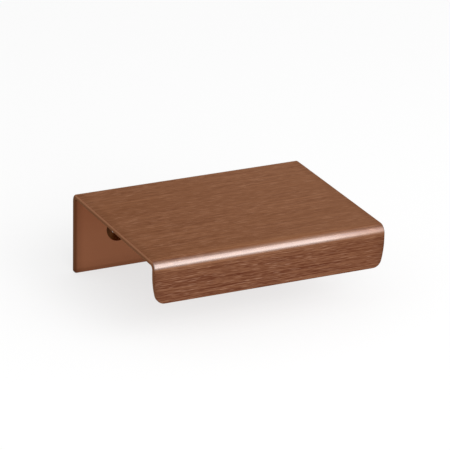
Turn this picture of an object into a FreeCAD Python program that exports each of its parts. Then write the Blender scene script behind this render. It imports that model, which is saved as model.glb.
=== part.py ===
"""Tab pull folded from one strip of sheet metal.

A back plate is screwed to the front of a drawer or door. The strip folds forward at its top as a flat
ledge, and folds down again at the front as a short finger lip with rounded lower corners.

Frame: the origin lies on the mounting face, midway between the two screw holes. +X runs along the
pull, to the right for the person who faces it, -Y points out towards that person, and +Z is up.
"""
import FreeCAD, Part
import math
import os

import Sketcher

NODE = "tab_pull"

# Driving sizes in millimetres, and one angle in degrees
SIZES = {
    "pull_length": 52.0,
    "projection": 41.8,
    "sheet_thickness": 1.2,
    "inner_bend_radius": 0.7,
    "plate_height": 18.1,
    "plate_corner_radius": 0.5,
    "lip_height": 9.2,
    "lip_corner_width": 2.5,
    "lip_corner_height": 6.2,
    "lip_foot_radius": 2.0,
    "edge_radius": 0.25,
    "screw_spacing": 32.0,
    "screw_rise": 8.7,
    "screw_clearance": 2.7,
    "countersink_width": 5.5,
    "countersink_angle": 120.0,
}

# Ends of a line or an arc, and the middle of an arc, as a sketch numbers them
START, END, CENTRE = range(1, 4)
# A sketch numbers its axes down from -1: the level one, which starts at its origin, then the upright one
LEVEL_AXIS, UPRIGHT_AXIS = range(-1, -3, -1)

NEAR = 1e-4


def add_sizes(doc):
    """Spreadsheet of the driving sizes, one row each, with the size's name as its alias."""
    table = doc.addObject("Spreadsheet::Sheet", "Sizes")
    for row, (name, value) in enumerate(SIZES.items(), start=1):
        table.set(f"A{row}", name)
        table.set(f"B{row}", str(value))
        table.setAlias(f"B{row}", name)
    doc.recompute()


def origin_plane(body, role):
    return next(item for item in body.Origin.OriginFeatures if item.Role == role)


def add_sketch(body, name, role, forward=None, raised=None):
    """Sketch on one of the body's own planes, moved along its normal and upwards by formulas."""
    sketch = body.newObject("Sketcher::SketchObject", name)
    sketch.AttachmentSupport = [(origin_plane(body, role), "")]
    sketch.MapMode = "FlatFace"
    if forward:
        sketch.setExpression("AttachmentOffset.Base.z", forward)
    if raised:
        sketch.setExpression("AttachmentOffset.Base.y", raised)
    return sketch


def line(sketch, start, end):
    """Adds a straight edge between two points of the sketch plane."""
    return sketch.addGeometry(Part.LineSegment(FreeCAD.Vector(*start), FreeCAD.Vector(*end)), False)


def arc(sketch, centre, radius, first_degrees, last_degrees):
    """Adds a round edge that runs counterclockwise from its first angle to its last."""
    circle = Part.Circle(FreeCAD.Vector(*centre), FreeCAD.Vector(0, 0, 1), radius)
    span = math.radians(first_degrees), math.radians(last_degrees)
    return sketch.addGeometry(Part.ArcOfCircle(circle, *span), False)


def join(sketch, kind, pairs):
    """Ties ends of edges together, two edges and two ends a time, with kind Tangent or Coincident."""
    for first, first_end, second, second_end in pairs:
        sketch.addConstraint(Sketcher.Constraint(kind, first, first_end, second, second_end))


def level(sketch, *edges):
    for edge in edges:
        sketch.addConstraint(Sketcher.Constraint("Horizontal", edge))


def upright(sketch, *edges):
    for edge in edges:
        sketch.addConstraint(Sketcher.Constraint("Vertical", edge))


def measure(sketch, kind, name, formula, *where):
    """Adds a named measure that follows a formula of the sheet's sizes."""
    value = float(sketch.evalExpression(formula))
    index = sketch.addConstraint(Sketcher.Constraint(kind, *where, value))
    sketch.renameConstraint(index, name)
    sketch.setExpression(f"Constraints.{name}", formula)


def fold_section(body):
    """Side view of the folded strip: plate, rear bend, ledge, front bend and lip, all one thickness."""
    sketch = add_sketch(body, "fold_section", "YZ_Plane")
    thick = SIZES["sheet_thickness"]
    inner = SIZES["inner_bend_radius"]
    outer = inner + thick
    front = -SIZES["projection"]
    plate_foot = -SIZES["screw_rise"]
    top = plate_foot + SIZES["plate_height"]
    lip_foot = top - SIZES["lip_height"]
    bend_level = top - outer

    mounting_face = line(sketch, (0, plate_foot), (0, bend_level))
    rear_bend = arc(sketch, (-outer, bend_level), outer, 0, 90)
    ledge_top = line(sketch, (-outer, top), (front + outer, top))
    front_bend = arc(sketch, (front + outer, bend_level), outer, 90, 180)
    lip_front = line(sketch, (front, bend_level), (front, lip_foot))
    lip_edge = line(sketch, (front, lip_foot), (front + thick, lip_foot))
    lip_back = line(sketch, (front + thick, lip_foot), (front + thick, bend_level))
    front_hollow = arc(sketch, (front + outer, bend_level), inner, 90, 180)
    ledge_underside = line(sketch, (front + outer, top - thick), (-outer, top - thick))
    rear_hollow = arc(sketch, (-outer, bend_level), inner, 0, 90)
    plate_front = line(sketch, (-thick, bend_level), (-thick, plate_foot))
    plate_edge = line(sketch, (-thick, plate_foot), (0, plate_foot))

    join(sketch, "Tangent", [
        (mounting_face, END, rear_bend, START),
        (rear_bend, END, ledge_top, START),
        (ledge_top, END, front_bend, START),
        (front_bend, END, lip_front, START),
        (lip_back, END, front_hollow, END),
        (front_hollow, START, ledge_underside, START),
        (ledge_underside, END, rear_hollow, END),
        (rear_hollow, START, plate_front, START),
    ])
    join(sketch, "Coincident", [
        (lip_front, END, lip_edge, START),
        (lip_edge, END, lip_back, START),
        (plate_front, END, plate_edge, START),
        (plate_edge, END, mounting_face, START),
        (rear_bend, CENTRE, rear_hollow, CENTRE),
        (front_bend, CENTRE, front_hollow, CENTRE),
    ])
    upright(sketch, mounting_face, lip_front, lip_back, plate_front)
    level(sketch, ledge_top, lip_edge, ledge_underside, plate_edge)
    sketch.addConstraint(Sketcher.Constraint("PointOnObject", mounting_face, START, UPRIGHT_AXIS))

    measure(sketch, "DistanceX", "thickness", "Sizes.sheet_thickness", plate_edge, START, plate_edge, END)
    measure(sketch, "Radius", "rear_inner_radius", "Sizes.inner_bend_radius", rear_hollow)
    measure(sketch, "Radius", "front_inner_radius", "Sizes.inner_bend_radius", front_hollow)
    measure(sketch, "DistanceY", "screw_rise", "Sizes.screw_rise", mounting_face, START, LEVEL_AXIS, START)
    measure(sketch, "DistanceY", "plate_height", "Sizes.plate_height", mounting_face, START, ledge_top, START)
    measure(sketch, "DistanceX", "projection", "Sizes.projection", lip_front, END, LEVEL_AXIS, START)
    measure(sketch, "DistanceY", "lip_height", "Sizes.lip_height", lip_front, END, ledge_top, END)
    return sketch


def fold_strip(body):
    """The folded strip, as long as the pull and centred on its middle plane."""
    strip = body.newObject("PartDesign::Pad", "folded_strip")
    strip.Profile = fold_section(body)
    strip.SideType = "Symmetric"
    strip.setExpression("Length", "Sizes.pull_length")
    return strip


def lip_corner_outline(body):
    """What is cut from the lip's lower corner, with its foot edge on the sketch's level axis.

    The end of the lip draws in along a long arc, and a small arc turns it under into the foot edge.
    """
    lip_foot_level = "Sizes.plate_height - Sizes.screw_rise - Sizes.lip_height"
    sketch = add_sketch(body, "lip_corner_outline", "XZ_Plane", "Sizes.projection", lip_foot_level)
    end = SIZES["pull_length"] / 2
    width = SIZES["lip_corner_width"]
    height = SIZES["lip_corner_height"]
    small = SIZES["lip_foot_radius"]
    # The long arc leaves the end upright at the corner's height and meets the small arc smoothly
    long = (width ** 2 + height ** 2 - 2 * height * small) / (2 * (width - small))
    meeting = -math.degrees(math.atan2(height - small, long - width))

    lip_end = line(sketch, (end, 0), (end, height))
    draw_in = arc(sketch, (end - long, height), long, meeting, 0)
    turn_under = arc(sketch, (end - width, small), small, -90, meeting)
    foot = line(sketch, (end - width, 0), (end, 0))

    join(sketch, "Tangent", [
        (foot, START, turn_under, START),
        (turn_under, END, draw_in, START),
        (draw_in, END, lip_end, END),
    ])
    join(sketch, "Coincident", [(foot, END, lip_end, START)])
    upright(sketch, lip_end)
    level(sketch, foot)
    sketch.addConstraint(Sketcher.Constraint("PointOnObject", foot, END, LEVEL_AXIS))

    measure(sketch, "DistanceX", "end", "Sizes.pull_length / 2", LEVEL_AXIS, START, foot, END)
    measure(sketch, "DistanceX", "corner_width", "Sizes.lip_corner_width", foot, START, foot, END)
    measure(sketch, "DistanceY", "corner_height", "Sizes.lip_corner_height", lip_end, START, lip_end, END)
    measure(sketch, "Radius", "foot_radius", "Sizes.lip_foot_radius", turn_under)
    return sketch


def round_lip_corners(body):
    """Cuts the lip's lower right corner through the sheet, and mirrors the cut to the left."""
    corner = body.newObject("PartDesign::Pocket", "lip_corner")
    corner.Profile = lip_corner_outline(body)
    corner.Type = "Length"
    corner.setExpression("Length", "Sizes.sheet_thickness")
    mirrored = body.newObject("PartDesign::Mirrored", "lip_corners")
    mirrored.Originals = [corner]
    mirrored.MirrorPlane = (origin_plane(body, "YZ_Plane"), [""])
    body.Tip = mirrored
    return corner, mirrored


def plate_corner_edges(shape):
    """The two short edges across the sheet at the lower corners of the back plate."""
    foot = -SIZES["screw_rise"]
    end = SIZES["pull_length"] / 2
    found = []
    for number, edge in enumerate(shape.Edges, start=1):
        box = edge.BoundBox
        across = box.XLength < NEAR and box.ZLength < NEAR
        at_corner = abs(box.ZMin - foot) < NEAR and abs(abs(box.XMin) - end) < NEAR
        if across and at_corner:
            found.append(f"Edge{number}")
    return found


def round_plate_corners(doc, body):
    """Takes the points off the lower corners of the back plate."""
    doc.recompute()
    base = body.Tip
    corners = body.newObject("PartDesign::Fillet", "plate_corners")
    corners.Base = (base, plate_corner_edges(base.Shape))
    corners.setExpression("Radius", "Sizes.plate_corner_radius")
    return corners


def screw_centres(body):
    """Two circles level with the origin, half the spacing to each side of it, on the plate's front."""
    sketch = add_sketch(body, "screw_centres", "XZ_Plane", "Sizes.sheet_thickness")
    circles = []
    for side in (-1, 1):
        centre = FreeCAD.Vector(side * SIZES["screw_spacing"] / 2, 0)
        circle = Part.Circle(centre, FreeCAD.Vector(0, 0, 1), SIZES["screw_clearance"] / 2)
        circles.append(sketch.addGeometry(circle, False))
    left, right = circles
    sketch.addConstraint(Sketcher.Constraint("PointOnObject", left, CENTRE, LEVEL_AXIS))
    sketch.addConstraint(Sketcher.Constraint("Symmetric", left, CENTRE, right, CENTRE, LEVEL_AXIS, START))
    sketch.addConstraint(Sketcher.Constraint("Equal", left, right))
    measure(sketch, "DistanceX", "spacing", "Sizes.screw_spacing", left, CENTRE, right, CENTRE)
    measure(sketch, "Diameter", "clearance", "Sizes.screw_clearance", left)
    return sketch


def drill_screw_holes(doc, body):
    """Two countersunk clearance holes, drilled through the back plate from its front."""
    centres = screw_centres(body)
    doc.recompute()
    holes = body.newObject("PartDesign::Hole", "screw_holes")
    holes.Profile = centres
    holes.ThreadType = "None"
    holes.DepthType = "ThroughAll"
    holes.HoleCutType = "Countersink"
    holes.HoleCutCustomValues = True
    holes.setExpression("Diameter", "Sizes.screw_clearance")
    holes.setExpression("HoleCutDiameter", "Sizes.countersink_width")
    holes.setExpression("HoleCutCountersinkAngle", "Sizes.countersink_angle")
    return holes


def is_sheet_face(face):
    """True for the faces of the sheet itself, flat or bent, and False for its cut edges and its holes."""
    surface = face.Surface
    if isinstance(surface, Part.Cylinder):
        return abs(surface.Axis.x) > 1 - NEAR
    if not isinstance(surface, Part.Plane):
        return False
    if abs(surface.Axis.y) > 1 - NEAR:
        return True
    deeper_than_sheet = face.BoundBox.YLength > SIZES["sheet_thickness"] + NEAR
    return abs(surface.Axis.z) > 1 - NEAR and deeper_than_sheet


def rim_edges(shape):
    """The two loops of edges where the sheet's faces meet its cut edges, without the rims of holes."""
    found = []
    for number, edge in enumerate(shape.Edges, start=1):
        beside = shape.ancestorsOfType(edge, Part.Face)
        on_rim = sum(is_sheet_face(face) for face in beside) == 1
        if on_rim and not edge.isClosed():
            found.append(f"Edge{number}")
    return found


def soften_rim(doc, body):
    """Rounds both arrises all the way round the sheet, as brushing and tumbling leave them."""
    doc.recompute()
    base = body.Tip
    rim = body.newObject("PartDesign::Fillet", "soft_rim")
    rim.Base = (base, rim_edges(base.Shape))
    rim.setExpression("Radius", "Sizes.edge_radius")
    return rim


def check_model(doc, body, cuts):
    """Stops unless every feature worked, each cut took metal away, and one sound solid is left."""
    failed = [item.Name for item in doc.Objects if {"Invalid", "Error"} & set(item.State)]
    if failed:
        raise RuntimeError(f"failed: {failed}")
    for cut in cuts:
        if cut.Shape.Volume > cut.BaseFeature.Shape.Volume - NEAR:
            raise RuntimeError(f"{cut.Name} took nothing away")
    shape = body.Shape
    if shape.isNull() or not shape.isValid() or len(shape.Solids) != 1:
        raise RuntimeError(f"{body.Label} is not one sound solid")


def build_tab_pull(doc):
    body = doc.addObject("PartDesign::Body", NODE)
    body.Label = NODE
    fold_strip(body)
    corner, mirrored = round_lip_corners(body)
    plate_corners = round_plate_corners(doc, body)
    holes = drill_screw_holes(doc, body)
    rim = soften_rim(doc, body)
    doc.recompute()
    check_model(doc, body, [corner, mirrored, plate_corners, holes, rim])
    return body


def main():
    doc = FreeCAD.newDocument("TabPull")
    add_sizes(doc)
    body = build_tab_pull(doc)
    os.makedirs("parts", exist_ok=True)
    body.Shape.exportStep(f"parts/{body.Label}.step")
    box = body.Shape.optimalBoundingBox(False, False)
    print(f"{body.Label}: {box.XLength:.2f} x {box.YLength:.2f} x {box.ZLength:.2f} mm,"
          f" {body.Shape.Volume:.1f} mm3, {len(body.Shape.Faces)} faces")


main()
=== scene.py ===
"""Tab pull folded from one strip of brushed copper-coloured sheet, on a white studio floor.

Lengths are in metres. +X runs along the pull, -Y out towards the person who faces it, and +Z up.
"""

import math

import bpy
from mathutils import Matrix, Vector


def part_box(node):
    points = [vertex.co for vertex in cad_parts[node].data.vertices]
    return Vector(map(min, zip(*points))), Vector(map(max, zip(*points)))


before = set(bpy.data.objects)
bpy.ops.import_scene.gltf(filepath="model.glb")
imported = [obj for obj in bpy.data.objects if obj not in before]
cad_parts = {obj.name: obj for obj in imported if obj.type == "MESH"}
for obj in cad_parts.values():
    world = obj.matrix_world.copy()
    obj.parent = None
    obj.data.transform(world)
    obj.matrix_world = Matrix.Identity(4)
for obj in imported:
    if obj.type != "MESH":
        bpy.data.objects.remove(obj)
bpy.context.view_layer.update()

MM = 0.001
PULL = "tab_pull"
low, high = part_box(PULL)
middle = (low + high) / 2

# Sizes of the folded sheet and its screw holes that the finish follows
SHEET = 1.2 * MM
BEND_RADIUS = 1.9 * MM
ARRIS_RADIUS = 0.25 * MM
HOLE_X = 16.0 * MM
COUNTERSINK_RADIUS = 2.75 * MM
FRONT_BEND_Y = low.y + BEND_RADIUS
BEND_Z = high.z - BEND_RADIUS

# Streaks of the brushing: length and width in millimetres, detail, and a seed that moves the pattern
LONG_STREAKS = (28.0, 0.2, 1.0, 3.0)
MEDIUM_STREAKS = (7.0, 0.18, 1.0, 19.0)
SHORT_STREAKS = (1.6, 0.16, 0.0, 11.0)
FLECKS = (2.4, 0.15, 1.0, 41.0)
CLOUDS = (20.0, 9.0, 2.0, 27.0)

# Share of each kind of streak in the brushing
LONG_SHARE = 0.46
MEDIUM_SHARE = 0.3
SHORT_SHARE = 0.24

# Levels of the noise between which the streaks turn pale and the flecks and clouds come up
STREAK_LEVELS = (0.37, 0.63)
FLECK_LEVELS = (0.57, 0.77)
CLOUD_LEVELS = (0.35, 0.65)

# How much of the brushing is missing round the finger gap and on the plate's rear
GAP_CALM = 0.75
REAR_CALM = 0.45

# How much of their painted light the faces round the finger gap take, and of their painted shade the
# countersinks
GAP_PAINTED_LIGHT_SHARE = 0.8
COUNTERSINK_SHADE_SHARE = 0.9

# Painted shade on the sheet's ends below their painted highlight on the arris, what the plate adds, and the
# least under the ledge
END_PAINTED_SHADE = 0.24
PLATE_END_PAINTED_SHADE = 0.5
UNDER_EDGE_PAINTED_SHADE = 0.6

# How dark the shade is over the plate's foot, on the line along it, towards the sides and on the lip
FOOT_SHADE = 0.12
FOOT_LINE_SHADE = 0.28
SIDE_SHADE = 0.2
LIP_SHADE = 0.03

# How much the painted highlight on the front bend fades towards both ends, and its coat towards the right
# one
BEND_PAINTED_LIGHT_FADE = 0.75
COAT_FADE = 0.6

# Surface of the metal
ROUGHNESS = 0.36
STREAK_ROUGHNESS = 0.08
BUMP_STRENGTH = 0.5
BUMP_HEIGHT = 0.004 * MM
GRAZING_TINT = (0.76, 0.63, 0.53, 1.0)
COAT_ROUGHNESS = 0.26
COAT_IOR = 3.0

# Camera, fitted to the photograph's outlines. Degrees, metres and pixels of its 450 by 450 frame
PHOTO_SIZE = 450
VIEW_AZIMUTH = -25.816
VIEW_ELEVATION = 22.139
VIEW_ROLL = 1.204
VIEW_DISTANCE = 668.914 * MM
FOCAL_PIXELS = 3207.421
AIM_POINT = Vector((0.0, -20.951, 0.473)) * MM
AIM_PIXEL = (226.634, 248.414)

# Studio
WHITE = (1.0, 1.0, 1.0, 1.0)
FLOOR_SIZE = 8.0
FLOOR_COLOUR = (0.9, 0.9, 0.9, 1.0)
FLOOR_GLOW = 0.7
WORLD_LIGHT = 0.66
SOFTBOX_DISTANCE = 0.9

# The key softbox has a brighter core, so that its reflection on the bend has soft edges
KEY_AZIMUTH = 31.0
KEY_ELEVATION = 36.0
KEY_WIDTH = 0.72
KEY_BRIGHTNESS = 1.7
CORE_WIDTH = 0.38
CORE_BRIGHTNESS = 1.5

# The front fill lights the floor, and isn't mirrored in the metal
FILL_AZIMUTH = 0.0
FILL_ELEVATION = 20.0
FILL_WIDTH = 0.7
FILL_BRIGHTNESS = 4.5


class Socket:
    """An output of a shader node. Arithmetic on it adds Math nodes to its tree."""

    def __init__(self, tree, output=None):
        self.tree = tree
        self.output = output

    def add(self, kind, settings=None, sockets=None, result=0):
        """Adds a node, sets it up, fills or links its sockets, and gives one of its outputs."""
        node = self.tree.nodes.new(kind)
        for name, value in (settings or {}).items():
            setattr(node, name, value)
        for name, value in (sockets or {}).items():
            if isinstance(value, Socket):
                self.tree.links.new(value.output, node.inputs[name])
            else:
                node.inputs[name].default_value = value
        return Socket(self.tree, node.outputs[result] if node.outputs else None)

    def math(self, operation, first, second=0.0):
        return self.add("ShaderNodeMath", {"operation": operation}, {0: first, 1: second})

    def __add__(self, other):
        return self.math("ADD", self, other)

    __radd__ = __add__

    def __sub__(self, other):
        return self.math("SUBTRACT", self, other)

    def __rsub__(self, other):
        return self.math("SUBTRACT", other, self)

    def __mul__(self, other):
        return self.math("MULTIPLY", self, other)

    __rmul__ = __mul__

    def __abs__(self):
        return self.math("ABSOLUTE", self)

    def root(self):
        return self.math("SQRT", self)

    def rise(self, start, end):
        """Climbs smoothly from 0 at start to 1 at end."""
        return self.add("ShaderNodeMapRange", {"interpolation_type": "SMOOTHSTEP"},
                        {"Value": self, "From Min": start, "From Max": end})

    def either(self, other):
        return self.math("MAXIMUM", self, other)


def new_material(name):
    material = bpy.data.materials.new(name)
    material.use_nodes = True
    material.node_tree.nodes.clear()
    return material, Socket(material.node_tree)


def linear(red, green, blue):
    """A colour that is written as it looks on a screen, 0 to 255, as the light values of a shader."""
    def light(level):
        share = level / 255
        return share / 12.92 if share <= 0.04045 else ((share + 0.055) / 1.055) ** 2.4
    return light(red), light(green), light(blue), 1.0


# Browns of the finish, and the painted light and shade that go over it
BRUSHED_DARK = linear(102, 56, 38)
BRUSHED_PALE = linear(143, 97, 71)
# Painted light on the faces round the finger gap, with less of it near the ledge above as painted shade
GAP_PAINTED_LIGHT_LOW = linear(156, 101, 72)
GAP_PAINTED_LIGHT_HIGH = linear(147, 91, 63)
# Painted shade inside the countersinks
COUNTERSINK_SHADE_LOW = linear(100, 60, 18)
COUNTERSINK_SHADE_HIGH = linear(102, 60, 36)
SHADED = linear(84, 44, 24)
# Painted shade on the sheet's ends
END_PAINTED_SHADE_COLOUR = linear(70, 37, 19)

# Tints that go over them, each with its strength
FLECK_TINT = (0.65, linear(182, 138, 112))
CLOUD_TINT = (0.2, linear(120, 74, 48))
# Painted light that makes the ledge paler to the right
RIGHT_PAINTED_LIGHT_TINT = (0.12, linear(176, 130, 104))
# Painted shade, deeper on the countersinks' outer sides
DEEP_COUNTERSINK_SHADE_TINT = (0.6, linear(30, 10, 2))
# Painted highlight on the upper arris of the sheet's ends
ARRIS_PAINTED_HIGHLIGHT_TINT = (0.5, linear(165, 118, 92))
# Painted light on the front bend and on its foot
BEND_PAINTED_LIGHT_TINT = (0.5, linear(154, 106, 76))
BEND_FOOT_PAINTED_LIGHT_TINT = (0.3, linear(165, 118, 86))


def mix_colours(graph, share, first, second):
    sockets = {"Factor": share, "A": first, "B": second}
    return graph.add("ShaderNodeMix", {"data_type": "RGBA"}, sockets, "Result")


def tinted(graph, colour, mask, tint):
    """The colour with a tint over it where the mask is."""
    strength, tint_colour = tint
    return mix_colours(graph, mask * strength, colour, tint_colour)


def streaks(graph, place, kind):
    """Noise drawn out along X, as a brush leaves it."""
    length, width, detail, seed = kind
    stretched = graph.add("ShaderNodeMapping", sockets={
        "Vector": place,
        "Location": (seed, seed, seed),
        "Scale": (1 / (length * MM), 1 / (width * MM), 1 / (width * MM)),
    })
    return graph.add("ShaderNodeTexNoise", sockets={"Vector": stretched, "Scale": 1.0, "Detail": detail})


def brushing_of(graph, place, strength):
    """From 0 on the dark lines of the brushing to 1 on its pale ones, nearer to a half where it is weak."""
    grain = (streaks(graph, place, LONG_STREAKS) * LONG_SHARE
             + streaks(graph, place, MEDIUM_STREAKS) * MEDIUM_SHARE
             + streaks(graph, place, SHORT_STREAKS) * SHORT_SHARE).rise(*STREAK_LEVELS)
    return 0.5 + (grain - 0.5) * strength


def past_face(distance):
    """1 on a face and past it, and 0 from an arris radius short of it."""
    return distance.rise(-ARRIS_RADIUS, -ARRIS_RADIUS / 3)


def before_plate(y):
    """1 on the front of the back plate and on all that lies before it."""
    return past_face((high.y - SHEET) - y)


def round_finger_gap(y, z):
    """1 on the faces of the lip, the plate and the ledge that look into the finger gap."""
    behind_lip = past_face(y - (low.y + SHEET))
    under_ledge = past_face((high.z - SHEET) - z)
    return behind_lip * before_plate(y) * under_ledge


def end_masks(x, y, z):
    """The sheet's ends, the painted highlight on their upper arris, and the painted shade below it, most of
    all on the plate.
    """
    from_middle = abs(x)
    below_top = high.z - z
    on_end = from_middle.rise(high.x - ARRIS_RADIUS * 0.5, high.x - ARRIS_RADIUS * 0.1)
    by_end = from_middle.rise(high.x - SHEET * 0.7, high.x)
    below_arris = below_top.rise(SHEET * 0.33, SHEET * 0.5)
    on_plate = y.rise(high.y - SHEET * 1.5, high.y - SHEET * 1.1)
    behind_bend = y.rise(FRONT_BEND_Y, FRONT_BEND_Y + SHEET)
    under_edge = below_top.rise(SHEET * 0.55, SHEET * 0.85) * behind_bend
    end_shade_level = (END_PAINTED_SHADE + on_plate * PLATE_END_PAINTED_SHADE).either(under_edge * UNDER_EDGE_PAINTED_SHADE)
    return on_end, on_end * (1 - below_arris), by_end * below_arris * end_shade_level


def shade_mask(x, y, z):
    """Shade over the plate's foot and the line along it, the sides of all but the rear, and the lip."""
    foot = z.rise(low.z + 3.2 * MM, low.z + 1.2 * MM)
    foot_line = z.rise(low.z + 1.3 * MM, low.z + 0.6 * MM)
    side = abs(x).rise(high.x - 2.4 * MM, high.x - 0.6 * MM) * before_plate(y)
    on_lip = y.rise(low.y + 0.4 * MM, low.y)
    return foot * FOOT_SHADE + foot_line * FOOT_LINE_SHADE + side * SIDE_SHADE + on_lip * LIP_SHADE


def countersinks(graph, x, y, z):
    """Where the countersinks are, and the painted shade in them, which deepens towards the pull's ends."""
    aside = abs(x) - HOLE_X
    from_hole = (aside * aside + z * z).root()
    before_rear = y.rise(-0.02 * MM, -0.1 * MM)
    behind_front = y.rise(-SHEET - 0.3 * MM, -SHEET - 0.1 * MM)
    sunk = from_hole.rise(COUNTERSINK_RADIUS, COUNTERSINK_RADIUS - 0.2 * MM) * (before_rear * behind_front)
    countersink_shade = mix_colours(graph, z.rise(-COUNTERSINK_RADIUS, 0.5 * MM), COUNTERSINK_SHADE_LOW, COUNTERSINK_SHADE_HIGH)
    return sunk, tinted(graph, countersink_shade, aside.rise(0.4 * MM, 2.4 * MM), DEEP_COUNTERSINK_SHADE_TINT)


def front_bend_masks(x, y, z, on_end):
    """The front bend: painted light where it meets the ledge, painted warm light on its foot, and a coat for
    its sharp highlight.
    """
    over_bend = FRONT_BEND_Y - y
    up_bend = z - BEND_Z

    # Painted highlight where the bend meets the ledge
    bend_painted_light = over_bend.rise(-BEND_RADIUS * 0.8, 0.0)
    bend_painted_light = bend_painted_light * over_bend.rise(BEND_RADIUS * 0.85, BEND_RADIUS * 0.55)
    bend_painted_light = bend_painted_light * (1 - abs(x).rise(high.x * 0.2, high.x) * BEND_PAINTED_LIGHT_FADE)

    # Painted warm light on the bend's foot, under its highlight
    foot = up_bend.rise(-BEND_RADIUS * 0.45, BEND_RADIUS * 0.1)
    foot = foot * up_bend.rise(BEND_RADIUS * 0.6, BEND_RADIUS * 0.25)
    foot = foot * over_bend.rise(BEND_RADIUS * 0.6, BEND_RADIUS * 0.85) * (1 - on_end)

    coat = up_bend.rise(BEND_RADIUS * 0.08, BEND_RADIUS * 0.4)
    coat = coat * over_bend.rise(BEND_RADIUS * 0.28, BEND_RADIUS)
    coat = coat * (1 - x.rise(high.x * 0.33, high.x) * COAT_FADE) * (1 - on_end)
    return bend_painted_light, foot, coat


def brushed_copper():
    """Brown copper finish with fine straight brushing along the pull, with painted light and shade over it.
    """
    material, graph = new_material("brushed_copper")
    place = graph.add("ShaderNodeTexCoord", result="Object")
    x, y, z = (graph.add("ShaderNodeSeparateXYZ", sockets={"Vector": place}, result=axis) for axis in "XYZ")

    # The faces round the finger gap are nearly plain, and the plate's rear is calmer than the rest
    inner = round_finger_gap(y, z)
    on_rear = y.rise(high.y - ARRIS_RADIUS, high.y)
    brushed = 1 - (inner * GAP_CALM).either(on_rear * REAR_CALM)
    brushing = brushing_of(graph, place, brushed)
    fleck = streaks(graph, place, FLECKS).rise(*FLECK_LEVELS)
    cloud = streaks(graph, place, CLOUDS).rise(*CLOUD_LEVELS)
    brown = mix_colours(graph, brushing, BRUSHED_DARK, BRUSHED_PALE)
    brown = tinted(graph, brown, fleck * brushed, FLECK_TINT)
    brown = tinted(graph, brown, cloud, CLOUD_TINT)
    # Painted light on the faces round the finger gap, weaker towards the ledge above as painted shade under
    # it
    gap_painted_light = mix_colours(graph, z.rise(-3.0 * MM, 7.0 * MM), GAP_PAINTED_LIGHT_LOW, GAP_PAINTED_LIGHT_HIGH)
    brown = mix_colours(graph, inner * GAP_PAINTED_LIGHT_SHARE, brown, gap_painted_light)

    # Painted shade, painted light on the ledge's right, painted shade in the countersinks, painted highlight
    # and shade on the sheet's ends, and painted light on the front bend
    brown = mix_colours(graph, shade_mask(x, y, z), brown, SHADED)
    # Painted light: the ledge paler towards its right
    on_ledge = z.rise(BEND_Z, high.z)
    brown = tinted(graph, brown, on_ledge * x.rise(low.x, high.x), RIGHT_PAINTED_LIGHT_TINT)
    # Painted shade inside the countersinks
    sunk, countersink_shade = countersinks(graph, x, y, z)
    brown = mix_colours(graph, sunk * COUNTERSINK_SHADE_SHARE, brown, countersink_shade)
    # Painted highlight on the ends' upper arris, and painted shade below it
    on_end, arris_highlight, end_shade = end_masks(x, y, z)
    brown = tinted(graph, brown, arris_highlight, ARRIS_PAINTED_HIGHLIGHT_TINT)
    brown = mix_colours(graph, end_shade, brown, END_PAINTED_SHADE_COLOUR)
    # Painted light on the front bend and on its foot
    bend_painted_light, bend_foot_light, coat = front_bend_masks(x, y, z, on_end)
    brown = tinted(graph, brown, bend_painted_light, BEND_PAINTED_LIGHT_TINT)
    brown = tinted(graph, brown, bend_foot_light, BEND_FOOT_PAINTED_LIGHT_TINT)

    bump = graph.add("ShaderNodeBump", sockets={
        "Strength": BUMP_STRENGTH,
        "Distance": BUMP_HEIGHT,
        "Height": brushing,
    })
    surface = graph.add("ShaderNodeBsdfPrincipled", sockets={
        "Base Color": brown,
        "Metallic": 1.0,
        "Roughness": ROUGHNESS + brushing * STREAK_ROUGHNESS,
        "Specular Tint": GRAZING_TINT,
        "Coat Weight": coat,
        "Coat Roughness": COAT_ROUGHNESS,
        "Coat IOR": COAT_IOR,
        "Normal": bump,
    })
    graph.add("ShaderNodeOutputMaterial", sockets={"Surface": surface})
    return material


def seen(graph):
    """1 for what is seen, straight, mirrored or through something clear, and 0 for what only gives light."""
    camera = graph.add("ShaderNodeLightPath", result="Is Camera Ray")
    glossy = graph.add("ShaderNodeLightPath", result="Is Glossy Ray")
    transmission = graph.add("ShaderNodeLightPath", result="Is Transmission Ray")
    return camera.either(glossy).either(transmission)


def white_floor():
    """White floor that shows white itself and still takes a pale shadow."""
    material, graph = new_material("white_floor")
    matt = graph.add("ShaderNodeBsdfDiffuse", sockets={"Color": FLOOR_COLOUR})
    glow = graph.add("ShaderNodeEmission", sockets={"Color": WHITE, "Strength": 1.0})
    mixed = graph.add("ShaderNodeMixShader", sockets={0: seen(graph) * FLOOR_GLOW, 1: matt, 2: glow})
    graph.add("ShaderNodeOutputMaterial", sockets={"Surface": mixed})
    return material


def lay_floor():
    bpy.ops.mesh.primitive_plane_add(size=FLOOR_SIZE, location=(0.0, 0.0, low.z))
    floor = bpy.context.object
    floor.name = "floor"
    floor.data.materials.append(white_floor())


def surround():
    """White surroundings: full white where they are seen, a little less as light on the object."""
    world = bpy.data.worlds.new("studio")
    bpy.context.scene.world = world
    world.use_nodes = True
    world.node_tree.nodes.clear()
    graph = Socket(world.node_tree)
    strength = WORLD_LIGHT + seen(graph) * (1 - WORLD_LIGHT)
    light = graph.add("ShaderNodeBackground", sockets={"Color": WHITE, "Strength": strength})
    graph.add("ShaderNodeOutputWorld", sockets={"Surface": light})


def direction(azimuth, elevation):
    """Unit vector towards a place round the pull. Azimuth 0 is out in front of it, and 90 to its right."""
    turn, rise = math.radians(azimuth), math.radians(elevation)
    return Vector((math.sin(turn) * math.cos(rise), -math.cos(turn) * math.cos(rise), math.sin(rise)))


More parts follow.
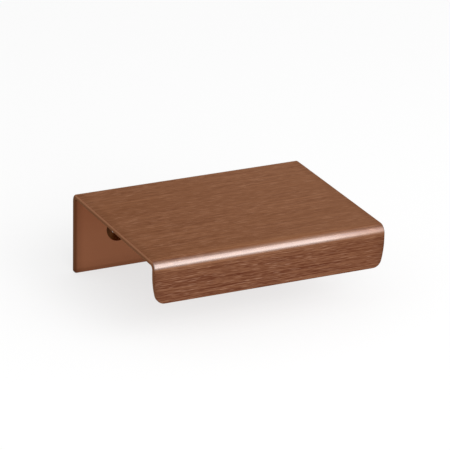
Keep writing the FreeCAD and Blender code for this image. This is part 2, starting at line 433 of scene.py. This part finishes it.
def add_softbox(name, azimuth, elevation, width, brightness, mirrored=True):
    """Square lamp that faces the pull. Its brightness is that of its face, where 1 is white."""
    lamp = bpy.data.lights.new(name, "AREA")
    lamp.size = width
    lamp.energy = brightness * math.pi * width ** 2
    softbox = bpy.data.objects.new(name, lamp)
    bpy.context.scene.collection.objects.link(softbox)
    towards = direction(azimuth, elevation)
    softbox.location = middle + towards * SOFTBOX_DISTANCE
    softbox.rotation_euler = towards.to_track_quat("Z", "Y").to_euler()
    softbox.visible_camera = False
    softbox.visible_glossy = mirrored


def add_camera():
    """Looks along the photograph's line of sight, with the aim point at its own pixel of the frame."""
    back = direction(VIEW_AZIMUTH, VIEW_ELEVATION)
    level_right = Vector((math.cos(math.radians(VIEW_AZIMUTH)), math.sin(math.radians(VIEW_AZIMUTH)), 0.0))
    roll = Matrix.Rotation(math.radians(VIEW_ROLL), 3, back)
    right = roll @ level_right
    up = roll @ back.cross(level_right)
    metres_per_pixel = VIEW_DISTANCE / FOCAL_PIXELS
    aside = (AIM_PIXEL[0] - PHOTO_SIZE / 2) * metres_per_pixel
    below = (AIM_PIXEL[1] - PHOTO_SIZE / 2) * metres_per_pixel
    eye = AIM_POINT + back * VIEW_DISTANCE - right * aside + up * below

    data = bpy.data.cameras.new("camera")
    data.lens = FOCAL_PIXELS * data.sensor_width / PHOTO_SIZE
    data.clip_start = VIEW_DISTANCE / 100
    camera = bpy.data.objects.new("camera", data)
    bpy.context.scene.collection.objects.link(camera)
    axes = Matrix((right, up, back)).transposed().to_4x4()
    camera.matrix_world = Matrix.Translation(eye) @ axes
    bpy.context.scene.camera = camera


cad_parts[PULL].material_slots[0].material = brushed_copper()
lay_floor()
surround()
add_softbox("key_softbox", KEY_AZIMUTH, KEY_ELEVATION, KEY_WIDTH, KEY_BRIGHTNESS)
add_softbox("key_core", KEY_AZIMUTH, KEY_ELEVATION, CORE_WIDTH, CORE_BRIGHTNESS)
add_softbox("front_fill", FILL_AZIMUTH, FILL_ELEVATION, FILL_WIDTH, FILL_BRIGHTNESS, mirrored=False)
add_camera()
bpy.context.scene.view_settings.view_transform = "Standard"
